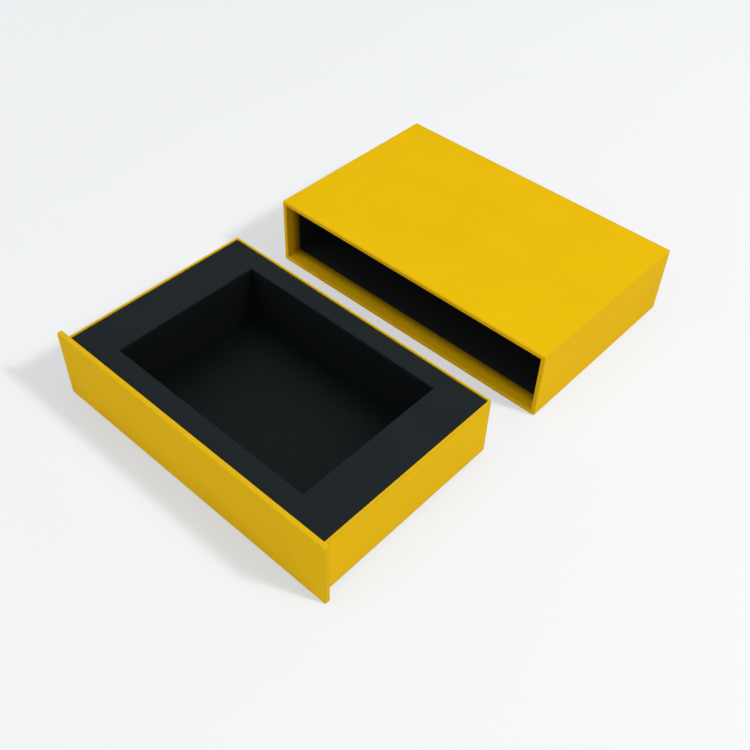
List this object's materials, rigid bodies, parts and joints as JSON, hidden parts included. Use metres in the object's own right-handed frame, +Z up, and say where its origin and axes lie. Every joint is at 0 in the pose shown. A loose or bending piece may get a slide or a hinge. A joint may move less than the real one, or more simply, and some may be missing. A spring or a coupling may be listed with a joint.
{
  "type": "sliding drawer gift box",
  "caption": "Rigid paper-covered gift box: an open-fronted sleeve and a sliding drawer with a wide front panel and a black foam insert with a rectangular well.",
  "frame": {"origin": "centre of the sleeve's underside, on the surface the box stands on", "axes": "+X to the right along the mouth, +Y from the drawer's front panel into the sleeve, the way the drawer closes, +Z up"},
  "size_m": [0.22, 0.3225, 0.05],
  "materials": {
    "yellow_paper": "matte",
    "black_paper": "matte",
    "black_foam": "matte",
    "greyboard": "matte",
    "stay_tape": "matte",
    "infill_paper": "matte",
    "adhesive_sheet": "matte"
  },
  "bodies": {
    "sleeve": {"sleeve_top_board": "greyboard", "sleeve_bottom_board": "greyboard", "sleeve_left_board": "greyboard", "sleeve_right_board": "greyboard", "sleeve_back_board": "greyboard", "sleeve_corner_stays": "stay_tape", "sleeve_wrap": "yellow_paper", "sleeve_base_infill": "infill_paper", "sleeve_base_sheet": "yellow_paper", "sleeve_lining": "black_paper", "sleeve_back_lining": "black_paper"},
    "drawer": {"front_panel_board": "greyboard", "front_panel_wrap": "yellow_paper", "panel_fixing_tape": "adhesive_sheet", "tray_base_board": "greyboard", "tray_front_board": "greyboard", "tray_back_board": "greyboard", "tray_left_board": "greyboard", "tray_right_board": "greyboard", "tray_corner_stays": "stay_tape", "tray_wrap": "yellow_paper", "tray_floor_lining": "black_paper", "foam_insert": "black_foam"}
  },
  "joints": [
    {"name": "drawer_slide", "type": "slide", "parent": "sleeve", "child": "drawer", "axis": [0, 1, 0], "range_m": [0, 0.1787]}
  ]
}
